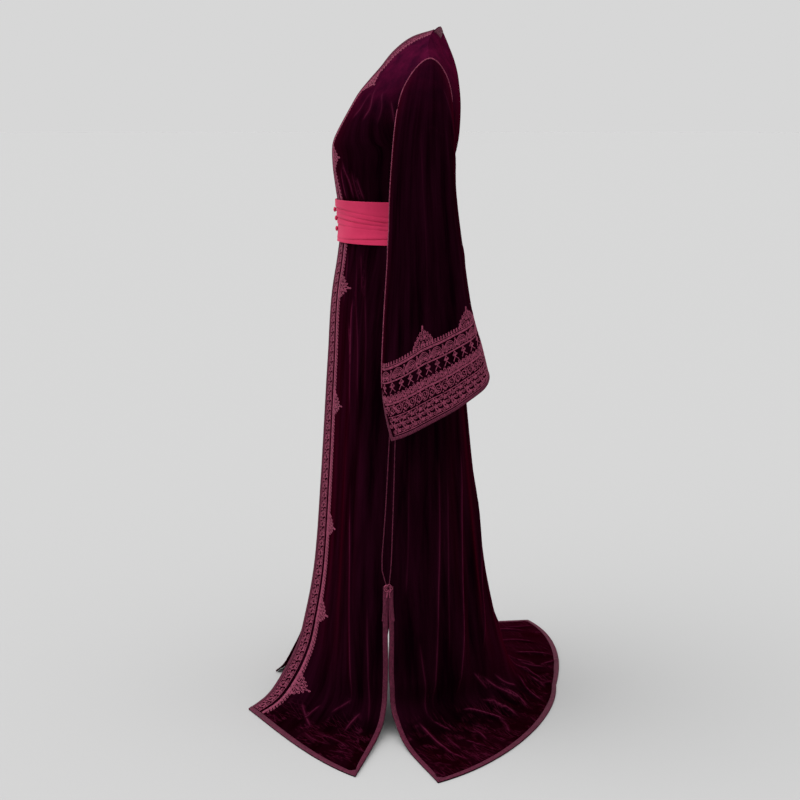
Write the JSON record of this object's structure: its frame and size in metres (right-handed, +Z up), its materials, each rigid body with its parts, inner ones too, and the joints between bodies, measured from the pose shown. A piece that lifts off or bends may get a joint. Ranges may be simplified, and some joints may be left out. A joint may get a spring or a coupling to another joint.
{
  "type": "velvet caftan",
  "caption": "Long velvet caftan in its hollow worn form: open front with couched-cord bands, wide slanted sleeves, side slits, a short train and a pleated sash.",
  "frame": {"origin": "midway between the two shoulder seams, where a wearer's shoulders hold the caftan", "axes": "+X towards the wearer's left, +Y towards the wearer's back, +Z up"},
  "size_m": [1.1259, 0.7256, 1.4994],
  "materials": {
    "velvet": "deep wine pile",
    "cord": "dull rose cord and braid",
    "sash": "matt crimson cloth"
  },
  "bodies": {
    "root": {"front_left": "velvet", "front_right": "velvet", "back": "velvet", "sleeve_left": "velvet", "sleeve_right": "velvet", "sash": "sash", "sash_button_1": "sash", "sash_button_2": "sash", "sash_button_3": "sash", "neck_braid_back": "cord", "hem_braid_back": "cord", "front_braid_left": "cord", "front_band_left": "cord", "front_picots_left": "cord", "hem_braid_front_left": "cord", "side_cord_front_left": "cord", "side_cord_back_left": "cord", "armhole_piping_left": "cord", "sleeve_cord_left": "cord", "cuff_band_left": "cord", "cuff_braid_left": "cord", "knot_left": "cord", "knot_tab_front_left": "cord", "knot_tab_back_left": "cord", "front_braid_right": "cord", "front_band_right": "cord", "front_picots_right": "cord", "hem_braid_front_right": "cord", "side_cord_front_right": "cord", "side_cord_back_right": "cord", "armhole_piping_right": "cord", "sleeve_cord_right": "cord", "cuff_band_right": "cord", "cuff_braid_right": "cord", "knot_right": "cord", "knot_tab_front_right": "cord", "knot_tab_back_right": "cord"}
  },
  "joints": []
}
